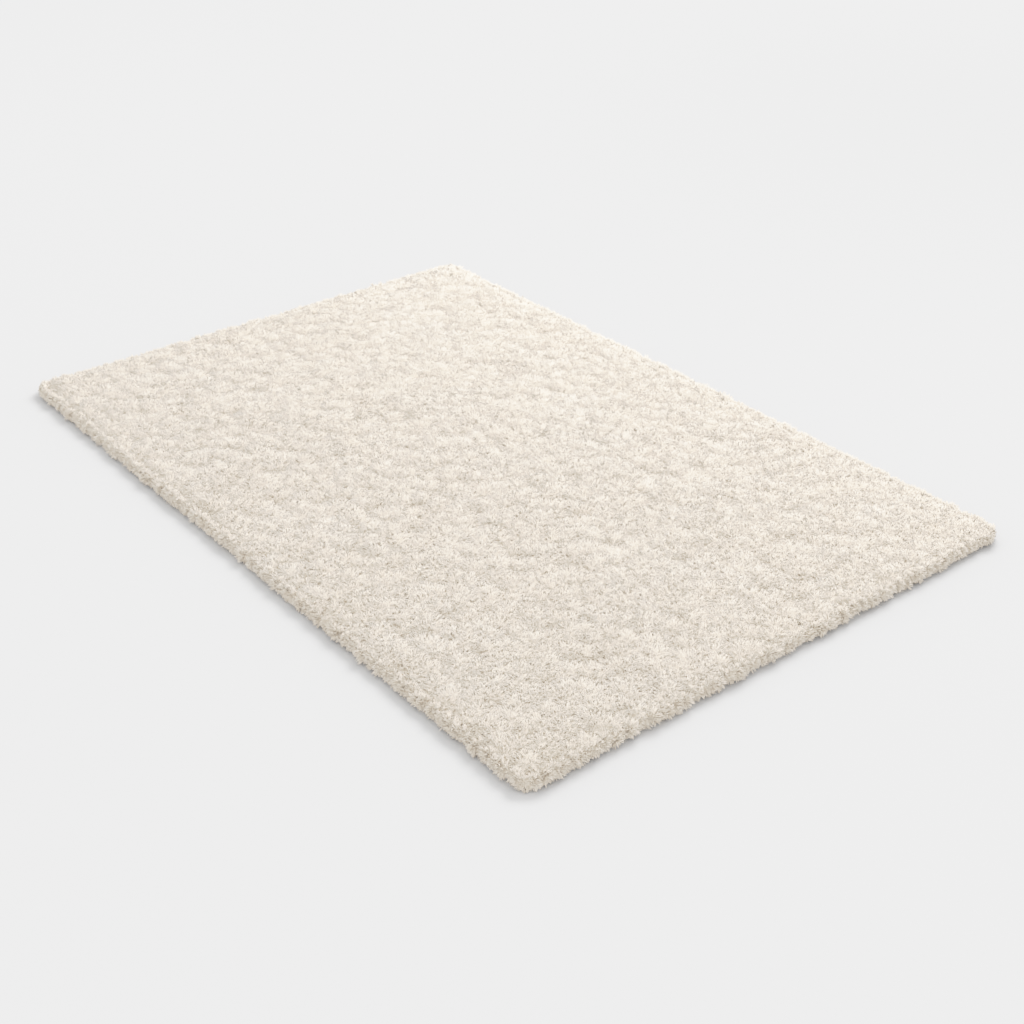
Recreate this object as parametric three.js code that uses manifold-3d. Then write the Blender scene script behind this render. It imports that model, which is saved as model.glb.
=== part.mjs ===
// A deep-pile shag rug lying flat: a tufted pile on a layered backing, bound with tape on four sides.
// Millimetres, +Z up. The origin is at the centre of the underside, +Y runs along the rug's length.
import * as THREE from 'three';
import { mergeVertices } from 'three/addons/utils/BufferGeometryUtils.js';
import Module from 'manifold-3d';

// Driving dimensions.
const BACKING_WIDTH = 1330;
const BACKING_LENGTH = 1985;
const PILE_OVERHANG = 15;
const PILE_TOP = 35;
const PILE_BOTTOM = 2.5;
const PILE_CORNER_RADIUS = 26;
const PILE_EDGE_ROUND = 12;
const PILE_EDGE_STEPS = 6;
const PILE_CORNER_STEPS = 8;

const GAP = 0.3;
const CLOTH = 1.2;
const LATEX = 1.2;
const PRIMARY = 1.0;
const TAPE = 1.2;
const TAPE_LEG = 12;

const THREAD = 0.8;
const THREAD_INSET = 7;
const STITCH_LENGTH = 12;
const STITCH_RISE = 0.5;

const LABEL_WIDTH = 35;
const LABEL_LENGTH = 50;
const LABEL_THICKNESS = 0.5;
const LABEL_LIFT = 0.1;
const LABEL_INSET = 60;

const BODY_INSET = TAPE + GAP;
const LATEX_BOTTOM = CLOTH + GAP;
const PRIMARY_BOTTOM = LATEX_BOTTOM + LATEX + GAP;
const PRIMARY_TOP = PRIMARY_BOTTOM + PRIMARY;
const TAPE_TOP = PRIMARY_TOP + GAP + TAPE;
const THREAD_TOP = TAPE_TOP + GAP + THREAD + STITCH_RISE;

const wasm = await Module();
wasm.setup();

const materials = {
  pile: fabric(0xe9e1d6, 0.95),
  primaryBacking: fabric(0xcfc3ac, 0.9),
  latex: fabric(0xd9d3c4, 0.6),
  secondaryBacking: fabric(0xc9b894, 0.9),
  binding: fabric(0xd8ccb8, 0.85),
  thread: fabric(0xe4dccb, 0.7),
  label: fabric(0xf2f0ea, 0.75),
};

function fabric(color, roughness) {
  return new THREE.MeshStandardMaterial({ color, roughness, metalness: 0 });
}

function toManifold(geometry) {
  const bare = geometry.clone();
  bare.deleteAttribute('normal');
  bare.deleteAttribute('uv');
  const merged = mergeVertices(bare, 1e-4);
  return new wasm.Manifold(new wasm.Mesh({
    numProp: 3,
    vertProperties: new Float32Array(merged.attributes.position.array),
    triVerts: new Uint32Array(merged.index.array),
  }));
}

function toGeometry(solid) {
  const mesh = solid.getMesh();
  const geometry = new THREE.BufferGeometry();
  geometry.setAttribute('position', new THREE.BufferAttribute(mesh.vertProperties, 3));
  geometry.setIndex(new THREE.BufferAttribute(mesh.triVerts, 1));
  geometry.computeVertexNormals();
  return geometry;
}

// A slab centred on the Z axis, between two heights.
function slab(width, length, bottom, top) {
  return new THREE.BoxGeometry(width, length, top - bottom).translate(0, 0, (bottom + top) / 2);
}

function roundedRectangle(width, length, radius) {
  const x = width / 2;
  const y = length / 2;
  const outline = new THREE.Shape();
  outline.moveTo(x, -y + radius);
  outline.lineTo(x, y - radius);
  outline.absarc(x - radius, y - radius, radius, 0, Math.PI / 2, false);
  outline.lineTo(-x + radius, y);
  outline.absarc(-x + radius, y - radius, radius, Math.PI / 2, Math.PI, false);
  outline.lineTo(-x, -y + radius);
  outline.absarc(-x + radius, -y + radius, radius, Math.PI, Math.PI * 1.5, false);
  outline.lineTo(x - radius, -y);
  outline.absarc(x - radius, -y + radius, radius, Math.PI * 1.5, Math.PI * 2, false);
  return outline;
}

// The envelope of the tufts: a pad with rounded sides that hangs over the bound edge on all four
// sides, hollowed underneath for the backing, the tapes and their stitches.
function pileGeometry() {
  const round = PILE_EDGE_ROUND;
  const outline = roundedRectangle(
    BACKING_WIDTH + 2 * (PILE_OVERHANG - round),
    BACKING_LENGTH + 2 * (PILE_OVERHANG - round),
    PILE_CORNER_RADIUS - round,
  );
  const pad = new THREE.ExtrudeGeometry(outline, {
    depth: PILE_TOP - PILE_BOTTOM - 2 * round,
    bevelEnabled: true,
    bevelThickness: round,
    bevelSize: round,
    bevelSegments: PILE_EDGE_STEPS,
    curveSegments: PILE_CORNER_STEPS,
  }).translate(0, 0, PILE_BOTTOM + round);
  const outerWidth = BACKING_WIDTH + 2 * GAP;
  const outerLength = BACKING_LENGTH + 2 * GAP;
  const innerWidth = BACKING_WIDTH - 2 * (TAPE_LEG + GAP);
  const innerLength = BACKING_LENGTH - 2 * (TAPE_LEG + GAP);
  const recess = toManifold(slab(outerWidth, outerLength, 0, THREAD_TOP + GAP));
  const filling = toManifold(slab(innerWidth, innerLength, PRIMARY_TOP + GAP, THREAD_TOP + 2 * GAP));
  return toGeometry(toManifold(pad).subtract(recess.subtract(filling)));
}

// The cloth under the latex, trimmed to lie level between the tapes, with a shallow pocket where
// the label presses into it.
function secondaryBackingGeometry() {
  const width = BACKING_WIDTH - 2 * (TAPE_LEG + GAP);
  const length = BACKING_LENGTH - 2 * (TAPE_LEG + GAP);
  const pocket = slab(LABEL_WIDTH + 2 * GAP, LABEL_LENGTH + 2 * GAP, -CLOTH, labelTop() + GAP);
  pocket.translate(labelCentre().x, labelCentre().y, 0);
  return toGeometry(toManifold(slab(width, length, 0, CLOTH)).subtract(toManifold(pocket)));
}

function labelTop() {
  return LABEL_LIFT + LABEL_THICKNESS;
}

function labelCentre() {
  return new THREE.Vector2(BACKING_WIDTH / 2 - LABEL_INSET, LABEL_INSET - BACKING_LENGTH / 2);
}

function labelGeometry() {
  const tab = slab(LABEL_WIDTH, LABEL_LENGTH, LABEL_LIFT, labelTop());
  return tab.translate(labelCentre().x, labelCentre().y, 0);
}

// The folded tape's section: x runs inwards from the rug's edge and y is the height.
function tapeSection() {
  const section = new THREE.Shape();
  section.moveTo(0, 0);
  section.lineTo(TAPE_LEG, 0);
  section.lineTo(TAPE_LEG, TAPE);
  section.lineTo(TAPE, TAPE);
  section.lineTo(TAPE, TAPE_TOP - TAPE);
  section.lineTo(TAPE_LEG, TAPE_TOP - TAPE);
  section.lineTo(TAPE_LEG, TAPE_TOP);
  section.lineTo(0, TAPE_TOP);
  return section;
}

// One strip of tape along an edge, mitred at both ends: each end point moves back along the edge
// by its own distance from the rug's outer face.
function tapeGeometry(edgeLength) {
  const strip = new THREE.ExtrudeGeometry(tapeSection(), { depth: edgeLength, bevelEnabled: false });
  const position = strip.attributes.position;
  for (let i = 0; i < position.count; i++) {
    const back = position.getX(i) + GAP / 2;
    const atEnd = position.getZ(i) > edgeLength / 2;
    position.setZ(i, atEnd ? edgeLength / 2 - back : back - edgeLength / 2);
  }
  return strip;
}

// The sewing thread on top of a tape: it rises and dips once for each stitch.
function threadGeometry(edgeLength) {
  const half = edgeLength / 2 - 2 * THREAD_INSET;
  const stitches = Math.round((2 * half) / STITCH_LENGTH);
  const low = TAPE_TOP + GAP;
  const outline = new THREE.Shape();
  outline.moveTo(-half, low);
  outline.lineTo(half, low);
  outline.lineTo(half, low + THREAD);
  for (let i = stitches - 1; i >= 0; i--) {
    outline.lineTo(-half + ((i + 0.5) / stitches) * 2 * half, low + THREAD + STITCH_RISE);
    outline.lineTo(-half + (i / stitches) * 2 * half, low + THREAD);
  }
  return new THREE.ExtrudeGeometry(outline, { depth: THREAD, bevelEnabled: false });
}

function named(name, geometry, material) {
  const mesh = new THREE.Mesh(geometry, material);
  mesh.name = name;
  return mesh;
}

// A tape and its thread, built along one edge and turned to it. Inside the group x runs inwards
// from the edge, y is along it and z is up.
function boundEdge(side, edgeLength, distance, turn) {
  const tape = named('binding_' + side, tapeGeometry(edgeLength), materials.binding);
  tape.rotation.set(Math.PI / 2, 0, 0);
  const thread = named('binding_stitch_' + side, threadGeometry(edgeLength), materials.thread);
  thread.rotation.set(Math.PI / 2, 0, Math.PI / 2, 'ZYX');
  thread.position.set(THREAD_INSET, 0, 0);
  const edge = new THREE.Group();
  edge.add(tape, thread);
  edge.position.set(-distance * Math.cos(turn), -distance * Math.sin(turn), 0);
  edge.rotation.z = turn;
  return edge;
}

const rug = new THREE.Group();
const bodyWidth = BACKING_WIDTH - 2 * BODY_INSET;
const bodyLength = BACKING_LENGTH - 2 * BODY_INSET;
const primary = slab(bodyWidth, bodyLength, PRIMARY_BOTTOM, PRIMARY_TOP);
const latex = slab(bodyWidth, bodyLength, LATEX_BOTTOM, LATEX_BOTTOM + LATEX);

rug.add(named('pile', pileGeometry(), materials.pile));
rug.add(named('primary_backing', primary, materials.primaryBacking));
rug.add(named('latex_coat', latex, materials.latex));
rug.add(named('secondary_backing', secondaryBackingGeometry(), materials.secondaryBacking));
rug.add(named('care_label', labelGeometry(), materials.label));
rug.add(boundEdge('left', BACKING_LENGTH, BACKING_WIDTH / 2, 0));
rug.add(boundEdge('right', BACKING_LENGTH, BACKING_WIDTH / 2, Math.PI));
rug.add(boundEdge('front', BACKING_WIDTH, BACKING_LENGTH / 2, Math.PI / 2));
rug.add(boundEdge('back', BACKING_WIDTH, BACKING_LENGTH / 2, -Math.PI / 2));

export default rug;
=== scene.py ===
"""A deep-pile shag rug on a pale floor: yarn-by-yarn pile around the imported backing, in metres."""
import math

import bmesh
import bpy
import numpy as np
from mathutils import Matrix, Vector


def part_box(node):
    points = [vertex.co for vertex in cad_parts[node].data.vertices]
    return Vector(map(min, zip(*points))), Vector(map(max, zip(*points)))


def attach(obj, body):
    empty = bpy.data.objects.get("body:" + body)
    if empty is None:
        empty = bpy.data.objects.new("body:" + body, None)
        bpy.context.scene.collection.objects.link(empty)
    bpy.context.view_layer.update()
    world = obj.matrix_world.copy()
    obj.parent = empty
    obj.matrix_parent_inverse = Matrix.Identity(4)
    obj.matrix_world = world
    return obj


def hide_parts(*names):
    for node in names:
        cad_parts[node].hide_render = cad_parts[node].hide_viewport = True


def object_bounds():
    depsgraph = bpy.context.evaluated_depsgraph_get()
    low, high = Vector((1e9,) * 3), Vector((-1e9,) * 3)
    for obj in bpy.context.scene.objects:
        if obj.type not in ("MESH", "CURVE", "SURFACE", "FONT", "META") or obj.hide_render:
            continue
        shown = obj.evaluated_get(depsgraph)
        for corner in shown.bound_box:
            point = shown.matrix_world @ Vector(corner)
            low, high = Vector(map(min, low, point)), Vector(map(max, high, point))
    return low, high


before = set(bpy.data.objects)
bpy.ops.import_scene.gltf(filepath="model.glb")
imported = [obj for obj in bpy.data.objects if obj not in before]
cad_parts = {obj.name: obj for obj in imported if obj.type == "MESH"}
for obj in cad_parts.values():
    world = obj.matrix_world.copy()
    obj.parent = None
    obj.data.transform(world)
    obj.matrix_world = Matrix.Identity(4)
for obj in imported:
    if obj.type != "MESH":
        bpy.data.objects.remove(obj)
cad_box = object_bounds()

BODY = "root"
UV_LAYER = "OFBake"
MM = 0.001
TINY = 1e-9

# ---------------------------------------------------------------------------------- camera

CAMERA_LENS = 53.52
CAMERA_SENSOR = 36.0
CAMERA_HEADING = math.radians(38.83)
CAMERA_PITCH = math.radians(30.82)
CAMERA_BACK = (-1.9406, -2.5416)
CAMERA_HEIGHT = 1.7634


def make_camera():
    """A camera off the rug's front left corner, without roll, that looks down across the pile."""
    low, high = cad_box
    data = bpy.data.cameras.new("camera")
    data.lens = CAMERA_LENS
    data.sensor_width = CAMERA_SENSOR
    data.clip_start = 0.05
    data.clip_end = 200.0
    camera = bpy.data.objects.new("camera", data)
    middle_x = (low.x + high.x) / 2
    middle_y = (low.y + high.y) / 2
    camera.location = (middle_x + CAMERA_BACK[0], middle_y + CAMERA_BACK[1], low.z + CAMERA_HEIGHT)
    camera.rotation_euler = (math.pi / 2 - CAMERA_PITCH, 0.0, -CAMERA_HEADING)
    bpy.context.scene.collection.objects.link(camera)
    bpy.context.scene.camera = camera


make_camera()

# ------------------------------------------------------------------------- light and floor

DOME_LEVEL = 0.977
LAMP_PLACE = (3.22, 1.04, 3.80)
LAMP_SIZE = 3.4
LAMP_POWER = 356.0

# The lamp's light on the open floor: its level under the lamp for each watt, and how far it spreads.
LAMP_LEVEL = 0.0057
LAMP_SPREAD = 4.42
FLOOR_LEVEL = 0.995
FLOOR_SIZE = 60.0
FLOOR_DROP = 0.2 * MM

# Scene light against picture light: steep in the shadows, gentle where the rug and the floor are.
TONE_CURVE = ((0.0, 0.0), (0.10, 0.17), (0.22, 0.335), (0.45, 0.565), (0.70, 0.716), (1.0, 0.863),
              (1.3, 0.955), (1.7, 1.0))


def make_world():
    """An even studio dome, which also stands behind the floor's far edge."""
    world = bpy.data.worlds.new("studio")
    world.use_nodes = True
    background = world.node_tree.nodes["Background"]
    background.inputs["Color"].default_value = (DOME_LEVEL, DOME_LEVEL, DOME_LEVEL, 1.0)
    background.inputs["Strength"].default_value = 1.0
    bpy.context.scene.world = world


def set_tones():
    """A soft shoulder for the picture's light tones, as a camera gives."""
    view = bpy.context.scene.view_settings
    view.view_transform = "Standard"
    view.use_curve_mapping = True
    mapping = view.curve_mapping
    mapping.clip_max_x = TONE_CURVE[-1][0]
    points = mapping.curves[3].points
    points[0].location = TONE_CURVE[0]
    points[1].location = TONE_CURVE[-1]
    for place in TONE_CURVE[1:-1]:
        points.new(*place)
    mapping.update()


def make_lamp():
    """A wide soft light that faces down, high over the floor beyond the rug's right side."""
    data = bpy.data.lights.new("key", "AREA")
    data.energy = LAMP_POWER
    data.shape = "SQUARE"
    data.size = LAMP_SIZE
    lamp = bpy.data.objects.new("key", data)
    lamp.location = LAMP_PLACE
    lamp.visible_camera = False
    bpy.context.scene.collection.objects.link(lamp)


def floor_material():
    """Pale matt floor, darker paint under the lamp, so that the lit floor is one even tone."""
    material = bpy.data.materials.new("floor")
    material.use_nodes = True
    tree = material.node_tree

    def math_node(operation, a, b):
        node = tree.nodes.new("ShaderNodeMath")
        node.operation = operation
        for socket, value in zip(node.inputs, (a, b)):
            if isinstance(value, bpy.types.NodeSocket):
                tree.links.new(value, socket)
            else:
                socket.default_value = value
        return node.outputs[0]

    place = tree.nodes.new("ShaderNodeTexCoord").outputs["Object"]
    away = tree.nodes.new("ShaderNodeVectorMath")
    away.operation = "DISTANCE"
    away.inputs[1].default_value = (LAMP_PLACE[0], LAMP_PLACE[1], 0.0)
    tree.links.new(place, away.inputs[0])
    ratio = math_node("DIVIDE", away.outputs["Value"], LAMP_SPREAD)
    fall = math_node("POWER", math_node("ADD", math_node("POWER", ratio, 2.0), 1.0), 2.0)
    light = math_node("ADD", math_node("DIVIDE", LAMP_LEVEL * LAMP_POWER, fall), DOME_LEVEL)
    shader = tree.nodes["Principled BSDF"]
    tree.links.new(math_node("DIVIDE", FLOOR_LEVEL, light), shader.inputs["Base Color"])
    shader.inputs["Roughness"].default_value = 1.0
    shader.inputs["Specular IOR Level"].default_value = 0.0
    return material


def make_floor():
    """A wide pale floor, a hair below the rug's underside."""
    half = FLOOR_SIZE / 2
    mesh = bpy.data.meshes.new("floor")
    corners = [(-half, -half, 0.0), (half, -half, 0.0), (half, half, 0.0), (-half, half, 0.0)]
    mesh.from_pydata(corners, [], [(0, 1, 2, 3)])
    mesh.materials.append(floor_material())
    floor = bpy.data.objects.new("floor", mesh)
    floor.location.z = cad_box[0].z - FLOOR_DROP
    bpy.context.scene.collection.objects.link(floor)


make_world()
set_tones()
make_lamp()
make_floor()

# ------------------------------------------------------------------------------- materials


class Nodes:
    """A short way to wire one material's node tree around its Principled shader."""

    def __init__(self, name):
        self.material = bpy.data.materials.new(name)
        self.material.use_nodes = True
        self.tree = self.material.node_tree
        self.shader = self.tree.nodes["Principled BSDF"]

    def add(self, kind, inputs=None, **settings):
        node = self.tree.nodes.new(kind)
        for key, value in settings.items():
            setattr(node, key, value)
        for key, value in (inputs or {}).items():
            self.feed(node.inputs[key], value)
        return node

    def feed(self, socket, value):
        if isinstance(value, bpy.types.NodeSocket):
            self.tree.links.new(value, socket)
        else:
            socket.default_value = value

    def ramp(self, factor, stops):
        node = self.add("ShaderNodeValToRGB", {"Fac": factor})
        elements = node.color_ramp.elements
        elements[0].position, elements[0].color = stops[0][0], (*stops[0][1], 1.0)
        elements[1].position, elements[1].color = stops[-1][0], (*stops[-1][1], 1.0)
        for position, color in stops[1:-1]:
            elements.new(position).color = (*color, 1.0)
        return node.outputs["Color"]

    def mix(self, factor, a, b, blend="MIX"):
        node = self.add("ShaderNodeMix", data_type="RGBA", blend_type=blend)
        self.feed(node.inputs["Factor"], factor)
        self.feed(node.inputs[6], a if isinstance(a, bpy.types.NodeSocket) else (*a, 1.0))
        self.feed(node.inputs[7], b if isinstance(b, bpy.types.NodeSocket) else (*b, 1.0))
        return node.outputs[2]

    def math(self, operation, a, b=0.0):
        return self.add("ShaderNodeMath", {0: a, 1: b}, operation=operation).outputs[0]

    def spread(self, value, low, high):
        node = self.add("ShaderNodeMapRange", {"Value": value, "To Min": low, "To Max": high})
        return node.outputs["Result"]

    def place(self):
        return self.add("ShaderNodeTexCoord").outputs["Object"]

    def axes(self):
        node = self.add("ShaderNodeSeparateXYZ", {"Vector": self.place()})
        return node.outputs["X"], node.outputs["Y"], node.outputs["Z"]

    def noise(self, scale, detail=2.0):
        node = self.add("ShaderNodeTexNoise", {"Vector": self.place(), "Scale": scale, "Detail": detail})
        return node.outputs["Fac"]

    def bump(self, height, distance, strength=1.0):
        node = self.add("ShaderNodeBump", {"Height": height, "Distance": distance, "Strength": strength})
        self.feed(self.shader.inputs["Normal"], node.outputs["Normal"])


# From tip to root the yarn gets warmer and a little darker: painted warm shade deep in the pile.
YARN_TIP = (0.938, 0.846, 0.728)
YARN_BODY = (0.946, 0.846, 0.716)
YARN_ROOT = (0.942, 0.832, 0.692)
YARN_SHADED = (0.93, 0.88, 0.82)
YARN_PATCH = (0.985, 0.975, 0.96)
# The core's colours are darker than the yarn's: painted shade of the deep pile. The streaks between them are
# random.
CORE_SHADE_DARK = (0.70, 0.60, 0.48)
CORE_SHADE_LIGHT = (0.85, 0.75, 0.62)
CLOTH_PATCH = (0.93, 0.92, 0.90)
WHITE = (1.0, 1.0, 1.0)


def yarn_material():
    """Cream yarn of fine fibres: each end has its own tint, and is warmer at the root than at the tip, which
    is painted warm shade deep in the pile.
    """
    n = Nodes("pile_yarn")
    along = n.add("ShaderNodeAttribute", attribute_name="along").outputs["Fac"]
    tint = n.add("ShaderNodeAttribute", attribute_name="tint").outputs["Fac"]
    # Painted shade: the ramp makes each end warmer towards its root.
    body = n.ramp(along, [(0.15, YARN_ROOT), (0.55, YARN_BODY), (0.90, YARN_TIP)])
    tinted = n.mix(1.0, body, n.ramp(tint, [(0.0, YARN_SHADED), (1.0, WHITE)]), "MULTIPLY")
    patches = n.ramp(n.noise(scale=5.0), [(0.3, YARN_PATCH), (0.7, WHITE)])
    n.feed(n.shader.inputs["Base Color"], n.mix(1.0, tinted, patches, "MULTIPLY"))
    fibres = n.noise(scale=900.0, detail=3.0)
    n.bump(fibres, distance=0.3 * MM, strength=0.5)
    n.feed(n.shader.inputs["Roughness"], n.spread(fibres, low=0.72, high=0.98))
    n.shader.inputs["Specular IOR Level"].default_value = 0.15
    n.shader.inputs["Sheen Weight"].default_value = 0.45
    n.shader.inputs["Sheen Tint"].default_value = (1.0, 0.95, 0.87, 1.0)
    n.shader.inputs["Sheen Roughness"].default_value = 0.5
    return n.material


def core_material():
    """The yarn deep in the pile: darker than the yarn ends as painted shade of the deep pile, with random
    streaks, and rough.
    """
    n = Nodes("pile_core")
    streaks = n.noise(scale=420.0, detail=3.0)
    # Painted shade: the core is coloured darker than the yarn ends that lie over it.
    n.feed(n.shader.inputs["Base Color"], n.ramp(streaks, [(0.25, CORE_SHADE_DARK), (0.75, CORE_SHADE_LIGHT)]))
    n.bump(streaks, distance=2.0 * MM, strength=0.8)
    n.feed(n.shader.inputs["Roughness"], n.spread(streaks, low=0.88, high=1.0))
    n.shader.inputs["Specular IOR Level"].default_value = 0.1
    return n.material


TAPE_CREAM = (0.80, 0.72, 0.61)
THREAD_CREAM = (0.86, 0.79, 0.69)
PRIMARY_TONE = (0.70, 0.66, 0.59)
SECONDARY_TONE = (0.66, 0.57, 0.44)
LATEX_TONE = (0.78, 0.74, 0.64)
LABEL_TONE = (0.88, 0.87, 0.84)


def darker(color, part):
    return tuple(c * part for c in color)


def weave(n, pitch):
    """Height of a plain weave: warp and weft tapes that pass over and under each other."""
    x, y, _ = n.axes()
    across = n.math("SINE", n.math("MULTIPLY", x, math.pi / pitch))
    along = n.math("SINE", n.math("MULTIPLY", y, math.pi / pitch))
    over = n.math("GREATER_THAN", n.math("MULTIPLY", across, along), 0.0)
    warp = n.math("ABSOLUTE", across)
    weft = n.math("ABSOLUTE", along)
    high_warp = n.math("MULTIPLY", n.math("SQRT", warp), n.spread(weft, low=0.6, high=1.0))
    high_weft = n.math("MULTIPLY", n.math("SQRT", weft), n.spread(warp, low=0.6, high=1.0))
    lower = n.math("MULTIPLY", high_weft, n.math("SUBTRACT", 1.0, over))
    return n.math("ADD", n.math("MULTIPLY", high_warp, over), lower)


def twill(n, pitch):
    """Height of a twill: fine ridges that run slantwise, broken by the cross threads."""
    x, y, z = n.axes()
    slant = n.math("ADD", n.math("ADD", x, y), z)
    ridge = n.math("SINE", n.math("MULTIPLY", slant, 2 * math.pi / pitch))
    cross = n.math("SINE", n.math("MULTIPLY", n.math("SUBTRACT", x, y), 4 * math.pi / pitch))
    return n.spread(n.math("ADD", ridge, n.math("MULTIPLY", cross, 0.4)), low=0.5, high=0.85)


def cloth_material(name, tone, height_of, pitch, depth, rough):
    """A woven cloth: its weave as bump, with painted shade between the threads and a little painted light on
    their tops, and some uneven colour.
    """
    n = Nodes(name)
    height = height_of(n, pitch)
    fibre = n.noise(scale=1.3 / pitch, detail=4.0)
    relief = n.math("ADD", height, n.math("MULTIPLY", fibre, 0.35))
    # Painted shade: the colour follows the weave's height, darker between the threads and a little lighter
    # on their tops.
    color = n.ramp(relief, [(0.15, darker(tone, 0.62)), (0.75, tone), (1.2, darker(tone, 1.08))])
    patches = n.ramp(n.noise(scale=9.0), [(0.3, CLOTH_PATCH), (0.7, WHITE)])
    n.feed(n.shader.inputs["Base Color"], n.mix(1.0, color, patches, "MULTIPLY"))
    n.bump(relief, distance=depth)
    n.feed(n.shader.inputs["Roughness"], n.spread(relief, low=min(rough + 0.08, 1.0), high=rough - 0.12))
    n.shader.inputs["Specular IOR Level"].default_value = 0.3
    return n.material


def latex_material():
    """Spread latex: cream, mottled, with small pits and a dull shine."""
    n = Nodes("latex")
    mottle = n.noise(scale=70.0, detail=5.0)
    pits = n.noise(scale=650.0, detail=3.0)
    relief = n.math("ADD", mottle, n.math("MULTIPLY", pits, 0.4))
    color = n.ramp(relief, [(0.4, darker(LATEX_TONE, 0.85)), (0.9, LATEX_TONE)])
    n.feed(n.shader.inputs["Base Color"], color)
    n.bump(relief, distance=0.5 * MM)
    n.feed(n.shader.inputs["Roughness"], n.spread(pits, low=0.5, high=0.75))
    return n.material


def thread_material():
    """Spun sewing thread: cream, with fine fibres and a slight sheen."""
    n = Nodes("sewing_thread")
    fibre = n.noise(scale=2600.0, detail=3.0)
    color = n.ramp(fibre, [(0.3, darker(THREAD_CREAM, 0.75)), (0.65, THREAD_CREAM)])
    n.feed(n.shader.inputs["Base Color"], color)
    n.bump(fibre, distance=0.12 * MM)
    n.feed(n.shader.inputs["Roughness"], n.spread(fibre, low=0.75, high=0.55))
    n.shader.inputs["Sheen Weight"].default_value = 0.2
    return n.material


# ------------------------------------------------------------------------------------ pile

SEED = 20261
BANDS = 17
NOISE_SPAN = 1.5
NOISE_TURN = 0.7

# One yarn end is a closed strand: a root point, one ring of corners and a tip point.
YARN_STOPS = (0.0, 0.66, 1.0)
YARN_SIDES = 3
YARN_LENGTH = 14.5 * MM
YARN_SUNK = 3.0 * MM
YARN_RADIUS = 1.20 * MM
YARN_FLAT = 0.70
YARN_CURL = 0.10
YARN_LIFT = 0.2
YARN_SHADE = 0.55
RADIUS_SPREAD = 0.12
TINT_SPREAD = 0.05
SPIN_SPREAD = 0.25
SOFT_NORMAL = 0.56
UV_MARGIN = 0.08

# Limits of height: the tips are held low above SOFT_TOP, and nothing touches the floor.
SOFT_TOP = 35.0 * MM
SOFT_RISE = 0.45
YARN_LOWEST = 2.0 * MM
FLOOR_GAP = 0.3 * MM

# The radius of the pile's corners. The share drawn in grows with the way out, up to CORNER_REACH radii.
CORNER_ROUND = 46.0 * MM
CORNER_REACH = 1.1

# The field: even rows of ends that fan about the centres of tufts. A JITTER is a part of the pitch.
# SPREAD, STRAY and the like are standard deviations; a stray is added to a direction of length 1.
END_PITCH = 2.5 * MM
END_JITTER = 0.30
END_LIFT = 1.10
END_FALL = 0.20
END_LIE = 1.2
END_BEND = 1.3
END_STRAY = 0.20
END_BEND_STRAY = 0.35
END_LENGTH_SPREAD = 0.06
FIELD_INSET = 2.0 * MM
TUFT_PITCH = 36.0 * MM
TUFT_JITTER = 0.30
TUFT_FAN = 34.0 * MM
TUFT_RISE = 0.4 * MM
TUFT_DOME = 0.9 * MM
TUFT_DRIFT = 0.15
TUFT_DRIFT_CELL = 55.0 * MM
TUFT_DRIFT_SEED = 21
TUFT_STRAY = 0.10
TUFT_SHADE_SPREAD = 0.09
RIM_ZONE = 45.0 * MM
RIM_LEAN = 0.75

# Locks: small groups of ends that lie one way and draw together towards their tips. An end leans the
# lock's way by LOCK_LIE times a number between 0 and END_LIE.
LOCK_PITCH = 6.0 * MM
LOCK_JITTER = 0.34
LOCK_DRAW = 0.28
LOCK_DRAW_POWER = 1.3
LOCK_DRIFT_CELL = 10.0 * MM
LOCK_DRIFT_SEED = 31
LOCK_STRAY = 0.55
LOCK_LIE = 0.60
LOCK_LIFT = 0.25
LOCK_RISE = 0.4 * MM
LOCK_SHADE_SPREAD = 0.08

# The rim: round tufts, here called knobs, that burst out of hearts along the core's edge.
KNOB_PITCH = 11.0 * MM
KNOB_RADIUS = 17.5 * MM
KNOB_INSET = 17.5 * MM
KNOB_DROP = 18.5 * MM
KNOB_HEART = 4.0 * MM
KNOB_SHIFT = 2.0 * MM
KNOB_LOBE = 0.06
KNOB_LOBE_CELL = 28.0 * MM
KNOB_LOBE_SEED = 41
KNOB_SIZE_SPREAD = 0.05
KNOB_SHADE_SPREAD = 0.06
KNOB_HEIGHT_SPREAD = 1.0 * MM
# The rim's soft normals lean upwards by this much, so that it catches the light from above.
RIM_LIFT = 0.7

# A knob's locks and their ends. A lock stays if its way is above LOWEST, and is either more outward than
# INMOST or above UPRIGHT: each is a part of a direction of length 1.
KNOB_LOCKS = 56
KNOB_LOCK_ENDS = 4
KNOB_LOCK_STRAY = 0.10
KNOB_LOCK_BEND = 0.40
KNOB_LOCK_SHADE = 0.10
KNOB_LOCK_LENGTH = 1.05
KNOB_LOCK_LENGTH_SPREAD = 0.10
KNOB_LOWEST_WAY = -0.80
KNOB_INMOST_WAY = -0.15
KNOB_UPRIGHT_WAY = 0.50
KNOB_END_FAN = 0.17
KNOB_END_STRAY = 0.08
KNOB_END_BEND = 0.15
KNOB_END_DROOP = 0.12
KNOB_END_LENGTH_SPREAD = 0.08

# Low yarn of the rim is moved out to TAPE_GAP past the tape: all the way below TAPE_CLEAR, and not at
# all above TAPE_FREE.
TAPE_GAP = 2.6 * MM
TAPE_CLEAR = 8.5 * MM
TAPE_FREE = 13.0 * MM

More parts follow.
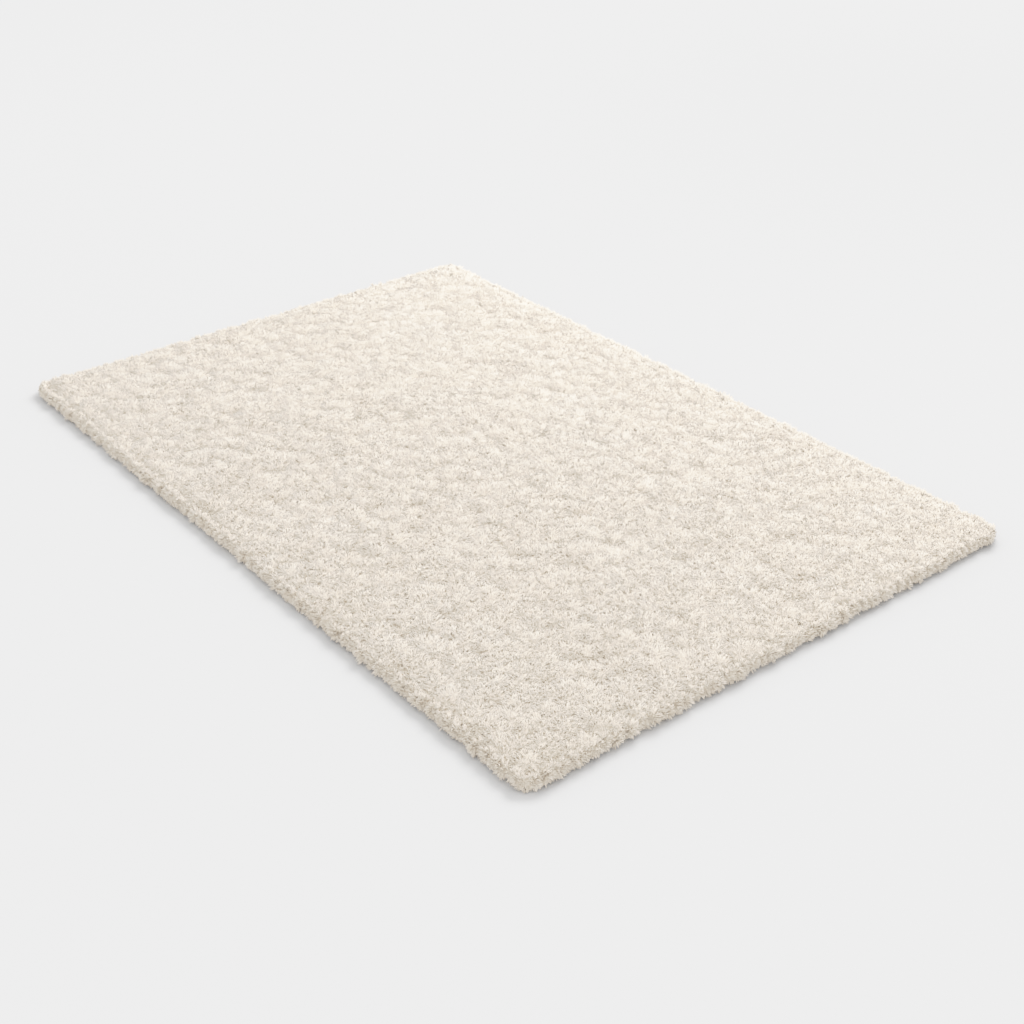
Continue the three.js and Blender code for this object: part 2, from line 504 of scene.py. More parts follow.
# The core: its rounded side turns by CORE_TURN, and its top rises by CORE_LIFT over CORE_SLOPE. Each
# swell of the top is a height in millimetres, a cell size and a seed. Underneath, it clears the tape,
# the thread and the cloth by the gaps.
CORE_ROUND = 7.0 * MM
CORE_TURN = math.radians(150.0)
CORE_CELL = 9.0 * MM
CORE_LIFT = 4.0 * MM
CORE_SLOPE = 28.0 * MM
CORE_CORNER_STEPS = 6
CORE_SIDE_STEPS = 8
CORE_SWELLS = ((0.7, 45.0 * MM, 11), (1.3, 110.0 * MM, 12))
CORE_TAPE_GAP = 1.5 * MM
CORE_THREAD_GAP = 0.4 * MM
CORE_CLOTH_GAP = 0.3 * MM
CORE_STEP_SLOPE = 0.5 * MM


def smooth_noise(x, y, cell, seed):
    """Value noise from -1 to 1 with the given cell size; its grid is turned so that no rows show."""
    turn = seed * NOISE_TURN
    gx = (x * math.cos(turn) - y * math.sin(turn) + NOISE_SPAN) / cell
    gy = (x * math.sin(turn) + y * math.cos(turn) + NOISE_SPAN) / cell
    side = int(2 * NOISE_SPAN / cell) + 2
    grid = np.random.default_rng(seed).uniform(-1.0, 1.0, (side, side))
    ix = gx.astype(int)
    iy = gy.astype(int)
    fx = gx - ix
    fy = gy - iy
    fx = fx * fx * (3.0 - 2.0 * fx)
    fy = fy * fy * (3.0 - 2.0 * fy)
    near = grid[ix, iy] * (1.0 - fx) + grid[ix + 1, iy] * fx
    far = grid[ix, iy + 1] * (1.0 - fx) + grid[ix + 1, iy + 1] * fx
    return near * (1.0 - fy) + far * fy


def swell(x, y):
    """The pile's slow rise and fall, in metres."""
    return sum(rise * smooth_noise(x, y, cell, seed) for rise, cell, seed in CORE_SWELLS) * MM


def unit(v):
    """The same directions with a length of 1."""
    return v / np.maximum(np.linalg.norm(v, axis=-1, keepdims=True), TINY)


def round_corners(points):
    """Draws points near the corners of the pile inwards, so that its outline is round there."""
    _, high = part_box("pile")
    straight = np.array([high.x, high.y]) - CORNER_ROUND
    place = np.abs(points[..., :2])
    past = np.maximum(place - straight, 0.0)
    other = np.minimum(past[..., ::-1] / CORNER_ROUND, CORNER_REACH)
    place = place - past + past * np.sqrt(1.0 - other ** 2 / 2)
    points[..., :2] = np.sign(points[..., :2]) * place
    return points


def new_mesh(name, vertices, faces):
    """A mesh from rows of points and lists of corner numbers."""
    mesh = bpy.data.meshes.new(name)
    mesh.from_pydata(np.asarray(vertices).tolist(), [], [tuple(int(v) for v in f) for f in faces])
    return mesh


def grid_faces(number):
    """The four-cornered faces of a grid of numbered points."""
    nx, ny = number.shape
    faces = []
    for i in range(nx - 1):
        for j in range(ny - 1):
            faces.append((number[i, j], number[i + 1, j], number[i + 1, j + 1], number[i, j + 1]))
    return faces


class Core:
    """The dense lower part of the pile: a pad whose sides are rounded over the bound edge."""

    def __init__(self):
        _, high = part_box("pile")
        self.flat = np.array([high.x, high.y]) - KNOB_INSET
        self.middle = high.z - KNOB_DROP
        self.top = self.middle + CORE_ROUND

    def height(self, x, y):
        """The core's top, which rises a little from its rounded sides towards the field."""
        inside = np.minimum(self.flat[0] - np.abs(x), self.flat[1] - np.abs(y)) / CORE_SLOPE
        inside = np.clip(inside, 0.0, 1.0)
        lift = CORE_LIFT * inside * inside * (3.0 - 2.0 * inside)
        return self.top + lift + swell(x, y)

    def side(self, corner, away, turn):
        """Points of the rounded side, turned outwards by an angle from straight up."""
        out = away * CORE_ROUND * math.sin(turn)
        rise = CORE_ROUND * math.cos(turn) + swell(*corner.T) * max(math.cos(turn), 0.0)
        return np.column_stack([corner + out, self.middle + rise])

    def rings(self, corner, away):
        """Rings of points that go down the core's side and then in under it, over the tape."""
        inner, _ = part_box("binding_right")
        _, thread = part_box("binding_stitch_left")
        _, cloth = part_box("primary_backing")
        inset = inner.x - CORE_TAPE_GAP - self.flat[0]
        underside = (
            (0.0, thread.z + CORE_THREAD_GAP),
            (inset, thread.z + CORE_THREAD_GAP),
            (inset - CORE_STEP_SLOPE, cloth.z + CORE_CLOTH_GAP),
        )
        for step in range(1, CORE_SIDE_STEPS + 1):
            yield self.side(corner, away, CORE_TURN * step / CORE_SIDE_STEPS)
        for reach, height in underside:
            limit = self.flat + reach
            ring = np.clip(corner + away * reach, -limit, limit)
            yield np.column_stack([ring, np.full(len(ring), height)])


def core_border(number):
    """The border points of the core's grid in turn, and the way out; corner points turn on the spot."""
    sides = (number[:, 0], number[-1, :], number[::-1, -1], number[0, ::-1])
    border = []
    for quarter, line in enumerate(sides):
        facing = 90.0 * (quarter - 1)
        border += [(v, facing) for v in line]
        border += [(line[-1], facing + 90.0 * k / CORE_CORNER_STEPS) for k in range(1, CORE_CORNER_STEPS)]
    angle = np.array([math.radians(a) for _, a in border])
    return np.array([v for v, _ in border]), np.stack([np.cos(angle), np.sin(angle)], 1)


def core_mesh(core):
    """A closed mesh of the core: a grid on top, rounded sides, and a flat underside over the backing."""
    lines = [np.linspace(-f, f, int(round(2 * f / CORE_CELL)) + 1) for f in core.flat]
    number = np.arange(lines[0].size * lines[1].size).reshape(lines[0].size, lines[1].size)
    x, y = (a.ravel() for a in np.meshgrid(*lines, indexing="ij"))
    vertices = np.column_stack([x, y, core.height(x, y)])
    faces = grid_faces(number)
    previous, away = core_border(number)
    for ring in core.rings(vertices[previous, :2], away):
        current = np.arange(len(ring)) + len(vertices)
        vertices = np.concatenate([vertices, ring])
        for a in range(len(ring)):
            b = (a + 1) % len(ring)
            if previous[a] == previous[b]:
                faces.append((previous[a], current[a], current[b]))
            else:
                faces.append((previous[a], current[a], current[b], previous[b]))
        previous = current
    faces.append(previous[::-1])
    mesh = new_mesh("pile_core", round_corners(vertices), faces)
    mesh.shade_smooth()
    return mesh


def strands(root, start, bend, length, rng):
    """Centre points of curly yarn ends that set out one way and turn towards another."""
    points = np.empty((length.size, len(YARN_STOPS), 3))
    points[:, 0] = root
    for k, (low, high) in enumerate(zip(YARN_STOPS, YARN_STOPS[1:])):
        middle = (low + high) / 2
        way = start * (1.0 - middle) + bend * middle
        way = unit(way + rng.normal(0.0, YARN_CURL, way.shape))
        points[:, k + 1] = points[:, k] + way * (length * (high - low))[:, None]
    return points


def jittered_rows(reach, pitch, jitter, rng):
    """Points in rows over a rectangle, each moved a little at random."""
    counts = [int(round(2 * r / pitch)) for r in reach]
    lines = [(np.arange(c) + 0.5) / c * 2 * r - r for c, r in zip(counts, reach)]
    x, y = np.meshgrid(*lines, indexing="ij")
    x = x + rng.normal(0.0, jitter * pitch, x.shape)
    y = y + rng.normal(0.0, jitter * pitch, y.shape)
    return x, y


def nearest_centre(x, y, centre_x, centre_y, reach):
    """For each yarn end, the number of the tuft or lock whose centre is nearest."""
    columns, rows = centre_x.shape
    i = np.clip(((x / reach[0] + 1.0) / 2 * columns).astype(int), 0, columns - 1)
    j = np.clip(((y / reach[1] + 1.0) / 2 * rows).astype(int), 0, rows - 1)
    best = np.full(x.shape, np.inf)
    chosen = np.zeros(x.shape, int)
    for di in (-1, 0, 1):
        for dj in (-1, 0, 1):
            a = np.clip(i + di, 0, columns - 1)
            b = np.clip(j + dj, 0, rows - 1)
            distance = (x - centre_x[a, b]) ** 2 + (y - centre_y[a, b]) ** 2
            nearer = distance < best
            best = np.where(nearer, distance, best)
            chosen = np.where(nearer, a * rows + b, chosen)
    return chosen


def draw_together(points, lock, count):
    """Draws the ends of each lock towards its middle, more and more towards their tips."""
    members = np.maximum(np.bincount(lock, minlength=count), 1)
    for k, stop in enumerate(YARN_STOPS):
        pull = LOCK_DRAW * stop ** LOCK_DRAW_POWER
        for axis in range(3):
            middle = np.bincount(lock, points[:, k, axis], count) / members
            points[:, k, axis] += pull * (middle[lock] - points[:, k, axis])
    return points


def noise_ways(x, y, cell, seed):
    """Two noises as a direction on the floor for each place."""
    return np.stack([smooth_noise(x, y, cell, seed + k) for k in range(2)], 1)


def field_ends(core, rng):
    """Yarn ends of the field: even rows of ends, fanned about the centres of loose rows of tufts."""
    reach = core.flat - FIELD_INSET
    tuft_x, tuft_y = jittered_rows(reach, TUFT_PITCH, TUFT_JITTER, rng)
    x, y = (a.ravel() for a in jittered_rows(reach, END_PITCH, END_JITTER, rng))
    tuft = nearest_centre(x, y, tuft_x, tuft_y, reach)
    centre = np.stack([tuft_x.ravel(), tuft_y.ravel()], 1)
    tufts = len(centre)
    lean = TUFT_DRIFT * noise_ways(*centre.T, TUFT_DRIFT_CELL, TUFT_DRIFT_SEED)
    lean = lean + rng.normal(0.0, TUFT_STRAY, (tufts, 2))
    rise = rng.normal(0.0, TUFT_RISE, tufts)
    shade = rng.normal(YARN_SHADE, TUFT_SHADE_SPREAD, tufts)

    lock_x, lock_y = jittered_rows(reach, LOCK_PITCH, LOCK_JITTER, rng)
    lock = nearest_centre(x, y, lock_x, lock_y, reach)
    locks = lock_x.size
    drift = noise_ways(lock_x.ravel(), lock_y.ravel(), LOCK_DRIFT_CELL, LOCK_DRIFT_SEED)
    lock_way = unit(drift + rng.normal(0.0, LOCK_STRAY, (locks, 2))) * LOCK_LIE
    lock_lift = rng.normal(0.0, LOCK_LIFT, (locks, 2))
    lock_rise = rng.normal(0.0, LOCK_RISE, locks)
    lock_shade = rng.normal(0.0, LOCK_SHADE_SPREAD, locks)

    place = np.stack([x, y], 1)
    offset = place - centre[tuft]
    root = np.column_stack([x, y, core.height(x, y) - YARN_SUNK])
    near = np.clip(1.0 - (reach - np.abs(place)) / RIM_ZONE, 0.0, 1.0)
    fan = offset / TUFT_FAN + lean[tuft] + RIM_LEAN * np.sign(place) * near ** 2
    lie = fan + lock_way[lock] * rng.uniform(0.0, END_LIE, (x.size, 1))
    start = np.column_stack([lie, END_LIFT + lock_lift[lock, 0]])
    start = unit(start + rng.normal(0.0, END_STRAY, start.shape))
    bend = np.column_stack([END_BEND * lie, END_FALL + lock_lift[lock, 1]])
    bend = unit(bend + rng.normal(0.0, END_BEND_STRAY, bend.shape))
    spread = np.sum(offset ** 2, 1) / (TUFT_PITCH / 2) ** 2
    length = YARN_LENGTH + rise[tuft] + lock_rise[lock] - TUFT_DOME * (spread - 0.5)
    length = length * rng.normal(1.0, END_LENGTH_SPREAD, x.size)
    points = draw_together(strands(root, start, bend, length, rng), lock, locks)
    facing = unit(np.column_stack([fan, np.ones(x.size)]))
    return round_corners(points), shade[tuft] + lock_shade[lock], facing


def knob_places(core):
    """Hearts of the rim's tufts along the four sides and corners, and the ways they face."""
    hearts = []
    facing = []
    half = core.flat
    for axis in (0, 1):
        count = int(round(2 * half[axis] / KNOB_PITCH))
        along = np.linspace(-half[axis], half[axis], count + 1)[1:-1]
        for end in (-1.0, 1.0):
            heart = np.empty((along.size, 2))
            heart[:, axis] = along
            heart[:, 1 - axis] = end * half[1 - axis]
            way = np.zeros((along.size, 2))
            way[:, 1 - axis] = end
            hearts.append(heart)
            facing.append(way)
    corners = np.array([(a, b) for a in (-1.0, 1.0) for b in (-1.0, 1.0)])
    hearts.append(corners * half)
    facing.append(corners / math.sqrt(2.0))
    return np.concatenate(hearts), np.concatenate(facing)


def even_directions(count):
    """Directions spread evenly over a sphere along a golden-angle spiral."""
    k = np.arange(count) + 0.5
    z = 1.0 - 2.0 * k / count
    turn = k * math.pi * (3.0 - math.sqrt(5.0))
    ring = np.sqrt(1.0 - z * z)
    return np.stack([ring * np.cos(turn), ring * np.sin(turn), z], 1)


def rim_knobs(core, rng):
    """The rim's tufts: their hearts, the ways they face, and their sizes, shades and turns."""
    place, facing = knob_places(core)
    knobs = len(place)
    shift = KNOB_SHIFT + np.abs(facing[:, ::-1]) * KNOB_SHIFT
    place = place + rng.normal(0.0, 1.0, place.shape) * shift
    lobes = smooth_noise(*place.T, KNOB_LOBE_CELL, KNOB_LOBE_SEED)
    size = KNOB_RADIUS * (1.0 + KNOB_LOBE * lobes + rng.normal(0.0, KNOB_SIZE_SPREAD, knobs))
    shade = rng.normal(YARN_SHADE, KNOB_SHADE_SPREAD, knobs)
    height = core.middle + rng.normal(0.0, KNOB_HEIGHT_SPREAD, knobs)
    turn = rng.uniform(0.0, 2 * math.pi, knobs)
    return np.column_stack([place, height]), facing, size, shade, turn


def knob_ways(facing, turn, rng):
    """The locks of all knobs: which knob each belongs to, and its way; none points in or straight down."""
    knob = np.repeat(np.arange(len(turn)), KNOB_LOCKS)
    turn = turn[knob]
    x, y, z = np.tile(even_directions(KNOB_LOCKS), (len(facing), 1)).T
    way = np.stack([x * np.cos(turn) - y * np.sin(turn), x * np.sin(turn) + y * np.cos(turn), z], 1)
    way = unit(way + rng.normal(0.0, KNOB_LOCK_STRAY, way.shape))
    outward = np.sum(way[:, :2] * facing[knob], 1)
    outer = (outward > KNOB_INMOST_WAY) | (way[:, 2] > KNOB_UPRIGHT_WAY)
    wanted = (way[:, 2] > KNOB_LOWEST_WAY) & outer
    return knob[wanted], way[wanted]


def knob_ends(core, rng):
    """Yarn ends of the rim: round tufts of locks that burst up, out and down over the bound edge."""
    heart, facing, size, shade, turn = rim_knobs(core, rng)
    knob, way = knob_ways(facing, turn, rng)
    locks = len(way)
    lock_bend = rng.normal(0.0, KNOB_LOCK_BEND, way.shape)
    lock_shade = shade[knob] + rng.normal(0.0, KNOB_LOCK_SHADE, locks)
    lock_length = size[knob] * rng.normal(KNOB_LOCK_LENGTH, KNOB_LOCK_LENGTH_SPREAD, locks)

    lock = np.repeat(np.arange(locks), KNOB_LOCK_ENDS)
    way = unit(way[lock] + rng.normal(0.0, KNOB_END_FAN, (lock.size, 3)))
    knob = knob[lock]
    root = heart[knob] + way * KNOB_HEART
    start = unit(way + rng.normal(0.0, KNOB_END_STRAY, way.shape))
    bend = way + lock_bend[lock] + rng.normal(0.0, KNOB_END_BEND, way.shape)
    bend = unit(bend + [0.0, 0.0, -KNOB_END_DROOP])
    length = (lock_length[lock] - KNOB_HEART) * rng.normal(1.0, KNOB_END_LENGTH_SPREAD, len(way))
    points = draw_together(strands(root, start, bend, length, rng), lock, locks)
    points = clear_of_tape(round_corners(points), facing[knob])
    return points, lock_shade[lock], unit(way + np.array([0.0, 0.0, RIM_LIFT]))


def clear_of_tape(points, facing):
    """Moves the low points of the rim's yarn outwards, so that they hang past the binding tape."""
    face = np.array([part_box("binding_right")[1].x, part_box("binding_back")[1].y]) + TAPE_GAP
    inside = np.min(face - np.abs(points[:, :, :2]), 2)
    low = np.clip((TAPE_FREE - points[:, :, 2]) / (TAPE_FREE - TAPE_CLEAR), 0.0, 1.0)
    push = np.maximum(inside, 0.0) * low
    step = push[:, :, None] / np.max(np.abs(facing), 1)[:, None, None] * facing[:, None, :]
    points[:, :, :2] += step
    return points


def yarn_ends(core, rng):
    """The centre points of every yarn end of the rug, and its thickness, tint, spin and facing."""
    field, field_shade, field_facing = field_ends(core, rng)
    rim, rim_shade, rim_facing = knob_ends(core, rng)
    points = np.concatenate([field, rim])
    shade = np.concatenate([field_shade, rim_shade])
    height = points[:, :, 2]
    height = np.where(height > SOFT_TOP, SOFT_TOP + SOFT_RISE * (height - SOFT_TOP), height)
    points[:, :, 2] = np.maximum(height, YARN_LOWEST)
    ends = {
        "radius": YARN_RADIUS * rng.normal(1.0, RADIUS_SPREAD, shade.size),
        "tint": np.clip(shade + rng.normal(0.0, TINT_SPREAD, shade.size), 0.0, 1.0),
        "spin": math.pi / 2 + rng.normal(0.0, SPIN_SPREAD, shade.size),
        "facing": np.concatenate([field_facing, rim_facing]),
    }
    return points, ends


def yarn_template():
    """Faces of one yarn end, two to a side, and the UV places of their corners."""
    root_at, ring_at, tip_at = YARN_STOPS
    tip = 1 + YARN_SIDES
    faces = []
    uvs = []
    for j in range(YARN_SIDES):
        k = (j + 1) % YARN_SIDES
        left = j / YARN_SIDES
        right = (j + 1) / YARN_SIDES
        centre = (left + right) / 2
        faces += [(0, 1 + k, 1 + j), (1 + j, 1 + k, tip)]
        uvs += [(centre, root_at), (right, ring_at), (left, ring_at)]
        uvs += [(left, ring_at), (right, ring_at), (centre, tip_at)]
    return np.array(faces), np.array(uvs)


def yarn_surface(points, ends):
    """Points of each yarn end's surface, and normals that lean towards the pile's own direction."""
    root, ring, tip = points[:, 0], points[:, 1], points[:, 2]
    facing = ends["facing"]
    along = unit(tip - root)
    side = unit(np.cross(facing + np.array([0.0, 0.0, YARN_LIFT]), along))
    up = np.cross(along, side) * YARN_FLAT
    vertices = np.empty((len(points), 2 + YARN_SIDES, 3))
    normals = np.empty_like(vertices)
    vertices[:, 0] = root
    vertices[:, -1] = tip
    normals[:, 0] = facing
    normals[:, -1] = unit(tip - ring)
    for j in range(YARN_SIDES):
        turn = (ends["spin"] + 2 * math.pi * j / YARN_SIDES)[:, None]
        away = np.cos(turn) * side + np.sin(turn) * up
        vertices[:, 1 + j] = ring + ends["radius"][:, None] * away
        normals[:, 1 + j] = unit(np.cos(turn) * side * YARN_FLAT + np.sin(turn) * up / YARN_FLAT)
    normals = unit(normals * (1.0 - SOFT_NORMAL) + facing[:, None, :] * SOFT_NORMAL)
    vertices[:, :, 2] = np.maximum(vertices[:, :, 2], FLOOR_GAP)
    return vertices, normals


def uv_patches(count, uv):
    """UV places of each yarn end's corners, in its own square of an even grid, with a margin."""
    columns = int(math.ceil(math.sqrt(count)))
    cell = 1.0 / columns
    square = np.stack([np.arange(count) % columns, np.arange(count) // columns], 1) * cell
    patch = UV_MARGIN + (1.0 - 2 * UV_MARGIN) * uv
    return square[:, None, :] + cell * patch


def yarn_mesh(name, points, ends):
    """One mesh of many yarn ends, each a closed tapered strand with its own patch of the UV map."""
    vertices, normals = yarn_surface(points, ends)
    faces, uv = yarn_template()
    count, per_end, _ = vertices.shape
    mesh = bpy.data.meshes.new(name)
    mesh.vertices.add(count * per_end)
    mesh.vertices.foreach_set("co", vertices.ravel())
    mesh.loops.add(count * faces.size)
    numbers = faces.ravel() + per_end * np.arange(count)[:, None]
    mesh.loops.foreach_set("vertex_index", numbers.ravel().astype(np.int32))
    mesh.polygons.add(count * len(faces))
    starts = faces.shape[1] * np.arange(count * len(faces))
    mesh.polygons.foreach_set("loop_start", starts.astype(np.int32))
    layer = mesh.uv_layers.new(name=UV_LAYER)
    layer.data.foreach_set("uv", uv_patches(count, uv).ravel())

    root_at, ring_at, tip_at = YARN_STOPS
    levels = [root_at, *[ring_at] * YARN_SIDES, tip_at]
    for attribute, values in (("along", np.tile(levels, count)), ("tint", np.repeat(ends["tint"], per_end))):
        mesh.attributes.new(attribute, "FLOAT", "POINT").data.foreach_set("value", values)
    mesh.update(calc_edges=True)
    mesh.shade_smooth()
    mesh.normals_split_custom_set_from_vertices(normals.reshape(-1, 3))
    return mesh


def add_piece(mesh, node):
    """Puts a mesh in the scene as a piece that rides on the rug's body and stands for a CAD node."""
    piece = bpy.data.objects.new(mesh.name, mesh)
    bpy.context.scene.collection.objects.link(piece)
    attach(piece, BODY)
    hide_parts(node)
    return piece


def make_pile():
    """The pile's core, and its yarn ends in bands that lie side by side across the rug."""
    rng = np.random.default_rng(SEED)
    core = Core()
    mesh = core_mesh(core)
    mesh.materials.append(core_material())
    add_piece(mesh, "pile")
    points, ends = yarn_ends(core, rng)
    material = yarn_material()
    x = points[:, 0, 0]
    edges = np.quantile(x, np.linspace(0.0, 1.0, BANDS + 1))
    band = np.clip(np.searchsorted(edges, x, side="right") - 1, 0, BANDS - 1)
    for k in range(BANDS):
        mine = band == k
        own = {key: values[mine] for key, values in ends.items()}
        mesh = yarn_mesh(f"pile_band_{k + 1:02d}", points[mine], own)
        mesh.materials.append(material)
        add_piece(mesh, "pile")


make_pile()

# --------------------------------------------------------------------------------- backing

CLOTH_CELL = 20.0 * MM
CLOTH_EDGE = 0.6 * MM
CLOTH_WAVE = 0.08 * MM
CLOTH_WAVE_CELL = 50.0 * MM
LINE_GAP = 0.05 * MM
LABEL_CELL = 5.0 * MM
POCKET_EDGE = 0.1 * MM
POCKET_RIM = 1.5 * MM
POCKET_GAP = 0.1 * MM

# Seeds of the waves in the sheets; each tape adds its own number to TAPE_SEED.
LATEX_SEED = 51
PRIMARY_SEED = 52
SECONDARY_SEED = 53
LABEL_SEED = 54
TAPE_SEED = 61

TAPE_STEP = 3.0 * MM
TAPE_ARC_STEPS = 6
TAPE_TIP = 0.35 * MM
TAPE_PUCKER = 0.14 * MM
TAPE_BEND = 0.62
TAPE_SWAY = 0.12 * MM
TAPE_SWAY_CELL = 40.0 * MM
MITRE_GAP = 0.15 * MM

STITCH_PITCH = 6.0 * MM
STITCH_SPAN = 4.6 * MM
STITCH_RADIUS = 0.38 * MM
STITCH_SIDES = 8
STITCH_STRAY = 0.12 * MM
# A stitch's centre line: the part of its span, and the height above the tape in millimetres.
STITCH_ARCH = ((0.00, -0.15), (0.07, 0.22), (0.20, 0.50), (0.50, 0.62),
               (0.80, 0.50), (0.93, 0.22), (1.00, -0.15))


def closed_mesh(name, vertices, faces, material):
    """A smooth mesh whose faces all look outwards."""
    mesh = new_mesh(name, vertices, faces)
    work = bmesh.new()
    work.from_mesh(mesh)
    bmesh.ops.recalc_face_normals(work, faces=work.faces)
    work.to_mesh(mesh)
    work.free()
    mesh.materials.append(material)
    mesh.shade_smooth()
    return mesh


def grid_lines(low, high, cell, extra):
    """Even lines from low to high with a few extra lines among them."""
    count = max(int(round((high - low) / cell)), 2)
    lines = np.concatenate([np.linspace(low, high, count + 1), np.array(extra, float)])
    lines = np.sort(lines)
    return lines[np.concatenate([[True], np.diff(lines) > LINE_GAP])]


def sheet_mesh(name, box, cell, seed, material, label=None):
    """A closed, faintly wavy sheet with soft edges; its underside is lifted over a label, if given."""
    low, high = box
    extra_x = []
    extra_y = []
    if label:
        for rim in (0.0, POCKET_RIM):
            extra_x += [label[0].x - rim, label[1].x + rim]
            extra_y += [label[0].y - rim, label[1].y + rim]
    xs = grid_lines(low.x + CLOTH_EDGE, high.x - CLOTH_EDGE, cell, extra_x)
    ys = grid_lines(low.y + CLOTH_EDGE, high.y - CLOTH_EDGE, cell, extra_y)
    gx, gy = (a.ravel() for a in np.meshgrid(xs, ys, indexing="ij"))
    wave = CLOTH_WAVE * smooth_noise(gx, gy, CLOTH_WAVE_CELL, seed)
    top = np.column_stack([gx, gy, high.z - CLOTH_WAVE + wave])
    bottom = np.column_stack([gx, gy, low.z + CLOTH_WAVE + wave])
    if label:
        over = (gx > label[0].x - POCKET_EDGE) & (gx < label[1].x + POCKET_EDGE)
        over &= (gy > label[0].y - POCKET_EDGE) & (gy < label[1].y + POCKET_EDGE)
        bottom[over, 2] = label[1].z + POCKET_GAP
    under = gx.size
    number = np.arange(under).reshape(xs.size, ys.size)
    ring = np.concatenate([number[:, 0], number[-1, 1:], number[-2::-1, -1], number[0, -2:0:-1]])
    around = np.column_stack([gx[ring], gy[ring]])
    outward = np.sign(around) * (np.abs(around) > np.array([high.x, high.y]) - 1.5 * CLOTH_EDGE)
    middle = np.column_stack([around + outward * CLOTH_EDGE, (top[ring, 2] + bottom[ring, 2]) / 2])
    faces = []
    for quad in grid_faces(number):
        faces.append(quad)
        faces.append(tuple(v + under for v in quad[::-1]))
    edge = 2 * under
    for a in range(ring.size):
        b = (a + 1) % ring.size
        faces.append((edge + a, edge + b, ring[b], ring[a]))
        faces.append((ring[a] + under, ring[b] + under, edge + b, edge + a))
    return closed_mesh(name, np.concatenate([top, bottom, middle]), faces, material)


def tape_profile(width, height, thick):
    """The folded tape's section, as pairs of distance in from the bound edge and height."""
    middle = height / 2
    inner = middle - thick
    bend = width * TAPE_BEND
    arc = np.linspace(math.pi / 2, 3 * math.pi / 2, TAPE_ARC_STEPS + 1)
    points = [(width - TAPE_TIP, height), (bend, height)]
    points += [(middle + middle * math.cos(a), middle + middle * math.sin(a)) for a in arc]
    points += [(bend, 0.0), (width - TAPE_TIP, 0.0), (width, TAPE_TIP), (width, thick - TAPE_TIP)]
    points += [(width - TAPE_TIP, thick), (bend, thick)]
    points += [(middle + inner * math.cos(a), middle + inner * math.sin(a)) for a in arc[::-1]]
    points += [(bend, height - thick), (width - TAPE_TIP, height - thick)]
    points += [(width, height - thick + TAPE_TIP), (width, height - TAPE_TIP)]
    return np.array(points)


def edge_frame(box):
    """The middle of a bound edge, the way along it, the way out, half its length and the tape's width."""
    low, high = box
    centre = np.array([(low.x + high.x) / 2, (low.y + high.y) / 2])
    size = np.array([high.x - low.x, high.y - low.y])
    run = int(size[1] > size[0])
    out = np.zeros(2)
    out[1 - run] = np.sign(centre[1 - run])
    along = np.array([-out[1], out[0]])
    face = np.abs(centre[1 - run]) + size[1 - run] / 2
    return out * face, along, out, size[run] / 2, size[1 - run]


def tape_mesh(name, box, material, seed):
    """A binding tape folded round one edge, mitred at its ends and drawn in a little at each stitch."""
    low, high = box
    origin, along, out, half, width = edge_frame(box)
    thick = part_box("secondary_backing")[1].z - low.z
    profile = tape_profile(width, high.z - low.z, thick)
    steps = int(round(2 * half / TAPE_STEP))
    run = np.linspace(-1.0, 1.0, steps + 1)
    inward = profile[:, 0][None, :]
    place = run[:, None] * (half - inward - MITRE_GAP)
    sway = TAPE_SWAY * (1.0 + smooth_noise(place, np.zeros_like(place), TAPE_SWAY_CELL, seed))
    hole = 0.5 + 0.5 * np.cos(2 * math.pi * place / STITCH_PITCH)
    upper = profile[:, 1][None, :] > high.z - low.z - TAPE_TIP / 2
    height = low.z + profile[:, 1][None, :] - TAPE_PUCKER * hole * upper
    flat = origin + place[:, :, None] * along - (inward + sway)[:, :, None] * out
    points = np.concatenate([flat, np.broadcast_to(height[:, :, None], flat.shape[:2] + (1,))], 2)
    sides = len(profile)
    faces = []
    for k in range(steps):
        for j in range(sides):
            m = (j + 1) % sides
            a = k * sides
            b = a + sides
            faces.append((a + j, a + m, b + m, b + j))
    for start in (0, steps * sides):
        last = start + sides - 1
        for j in range(sides // 2 - 1):
            faces.append((start + j, start + j + 1, last - 1 - j, last - j))
    return closed_mesh(name, points.reshape(-1, 3), faces, material)


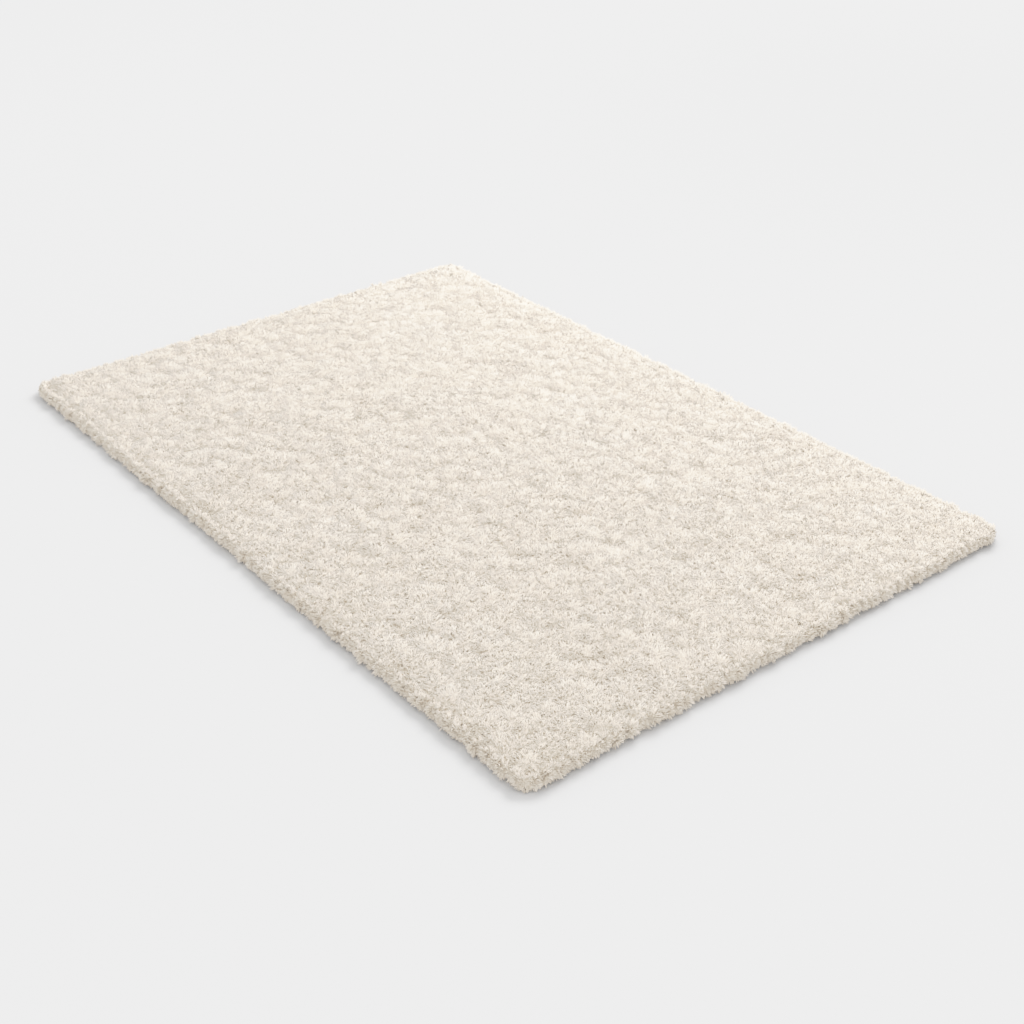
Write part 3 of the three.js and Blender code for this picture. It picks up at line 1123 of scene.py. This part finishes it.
def stitch_mesh(name, box, tape_box, material, rng):
    """A row of single stitches: each a short arch of thread that dips into the tape at both ends."""
    low, high = box
    origin, along, out, _, _ = edge_frame(tape_box)
    centre = np.array([(low.x + high.x) / 2, (low.y + high.y) / 2])
    line = origin + out * np.dot(centre - origin, out)
    half = max(high.x - low.x, high.y - low.y) / 2
    count = int(2 * half / STITCH_PITCH)
    vertices = []
    faces = []
    for k in range(count):
        middle = (k - (count - 1) / 2) * STITCH_PITCH + rng.normal(0.0, STITCH_STRAY)
        slant = rng.normal(0.0, STITCH_STRAY)
        start = len(vertices)
        for t, rise in STITCH_ARCH:
            at = line + along * (middle + (t - 0.5) * STITCH_SPAN) + out * slant * (t - 0.5) * 2
            for j in range(STITCH_SIDES):
                turn = 2 * math.pi * j / STITCH_SIDES
                spot = at + out * STITCH_RADIUS * math.cos(turn)
                vertices.append((*spot, tape_box[1].z + rise * MM + STITCH_RADIUS * math.sin(turn)))
        last = len(vertices) - STITCH_SIDES
        for a in range(start, last, STITCH_SIDES):
            for j in range(STITCH_SIDES):
                m = (j + 1) % STITCH_SIDES
                faces.append((a + j, a + m, a + m + STITCH_SIDES, a + j + STITCH_SIDES))
        faces.append(tuple(range(start, start + STITCH_SIDES)))
        faces.append(tuple(range(last, last + STITCH_SIDES)))
    return closed_mesh(name, vertices, faces, material)


def make_backing():
    """The cloths, the latex, the blank label, and the bound and sewn edges."""
    label_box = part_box("care_label")
    latex = add_piece(
        sheet_mesh("latex_layer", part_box("latex_coat"), CLOTH_CELL, LATEX_SEED, latex_material()),
        "latex_coat",
    )
    cloth = cloth_material("primary_cloth", PRIMARY_TONE, weave, pitch=1.6 * MM, depth=0.3 * MM, rough=0.7)
    primary = add_piece(
        sheet_mesh("primary_cloth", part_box("primary_backing"), CLOTH_CELL, PRIMARY_SEED, cloth),
        "primary_backing",
    )
    cloth = cloth_material(
        "secondary_cloth", SECONDARY_TONE, weave, pitch=3.2 * MM, depth=0.6 * MM, rough=0.9,
    )
    secondary_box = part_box("secondary_backing")
    secondary = add_piece(
        sheet_mesh("secondary_cloth", secondary_box, CLOTH_CELL, SECONDARY_SEED, cloth, label_box),
        "secondary_backing",
    )
    cloth = cloth_material("label_cloth", LABEL_TONE, weave, pitch=0.4 * MM, depth=0.08 * MM, rough=0.6)
    label = add_piece(
        sheet_mesh("blank_label", label_box, LABEL_CELL, LABEL_SEED, cloth),
        "care_label",
    )

    rng = np.random.default_rng(SEED + 1)
    thread = thread_material()
    tape = cloth_material("binding_tape", TAPE_CREAM, twill, pitch=1.1 * MM, depth=0.18 * MM, rough=0.85)
    for k, side in enumerate(("left", "right", "front", "back")):
        node = f"binding_{side}"
        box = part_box(node)
        stitches = add_piece(
            stitch_mesh(f"stitches_{side}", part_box(f"binding_stitch_{side}"), box, thread, rng),
            f"binding_stitch_{side}",
        )
        folded = add_piece(tape_mesh(f"tape_{side}", box, tape, TAPE_SEED + k), node)
        2 * edge_frame(box)[3]


make_backing()
